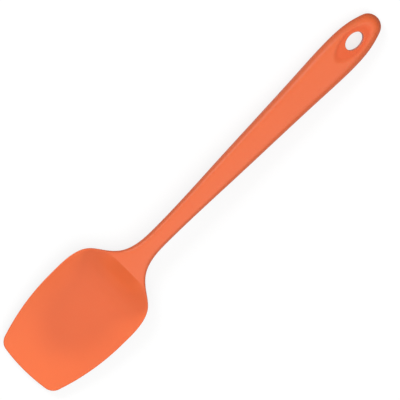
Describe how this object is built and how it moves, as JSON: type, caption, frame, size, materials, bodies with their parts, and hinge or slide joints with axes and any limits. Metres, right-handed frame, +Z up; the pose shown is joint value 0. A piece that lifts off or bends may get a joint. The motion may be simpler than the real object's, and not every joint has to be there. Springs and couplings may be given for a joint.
{
  "type": "silicone spatula",
  "caption": "Silicone spatula with a spoon-shaped blade, a slim neck and a flat tapering handle with an oval hanging hole, for stirring, folding and scraping food",
  "frame": {"origin": "middle of the bounding box, at the height of the surface that the spatula rests on with the hollow of its blade up", "axes": "+X along the spatula from the blade tip towards the end of the handle, +Y across the blade, +Z up, out of the hollow of the blade"},
  "size_m": [0.29, 0.0588, 0.0153],
  "materials": {
    "silicone": "matte to satin moulded silicone, coral orange all through",
    "nylon": "natural glass-filled nylon, as moulded",
    "steel": "stamped stainless strip, bead blasted for grip"
  },
  "bodies": {
    "root": {"silicone_skin": "silicone", "nylon_core": "nylon", "steel_spine": "steel"}
  },
  "joints": []
}
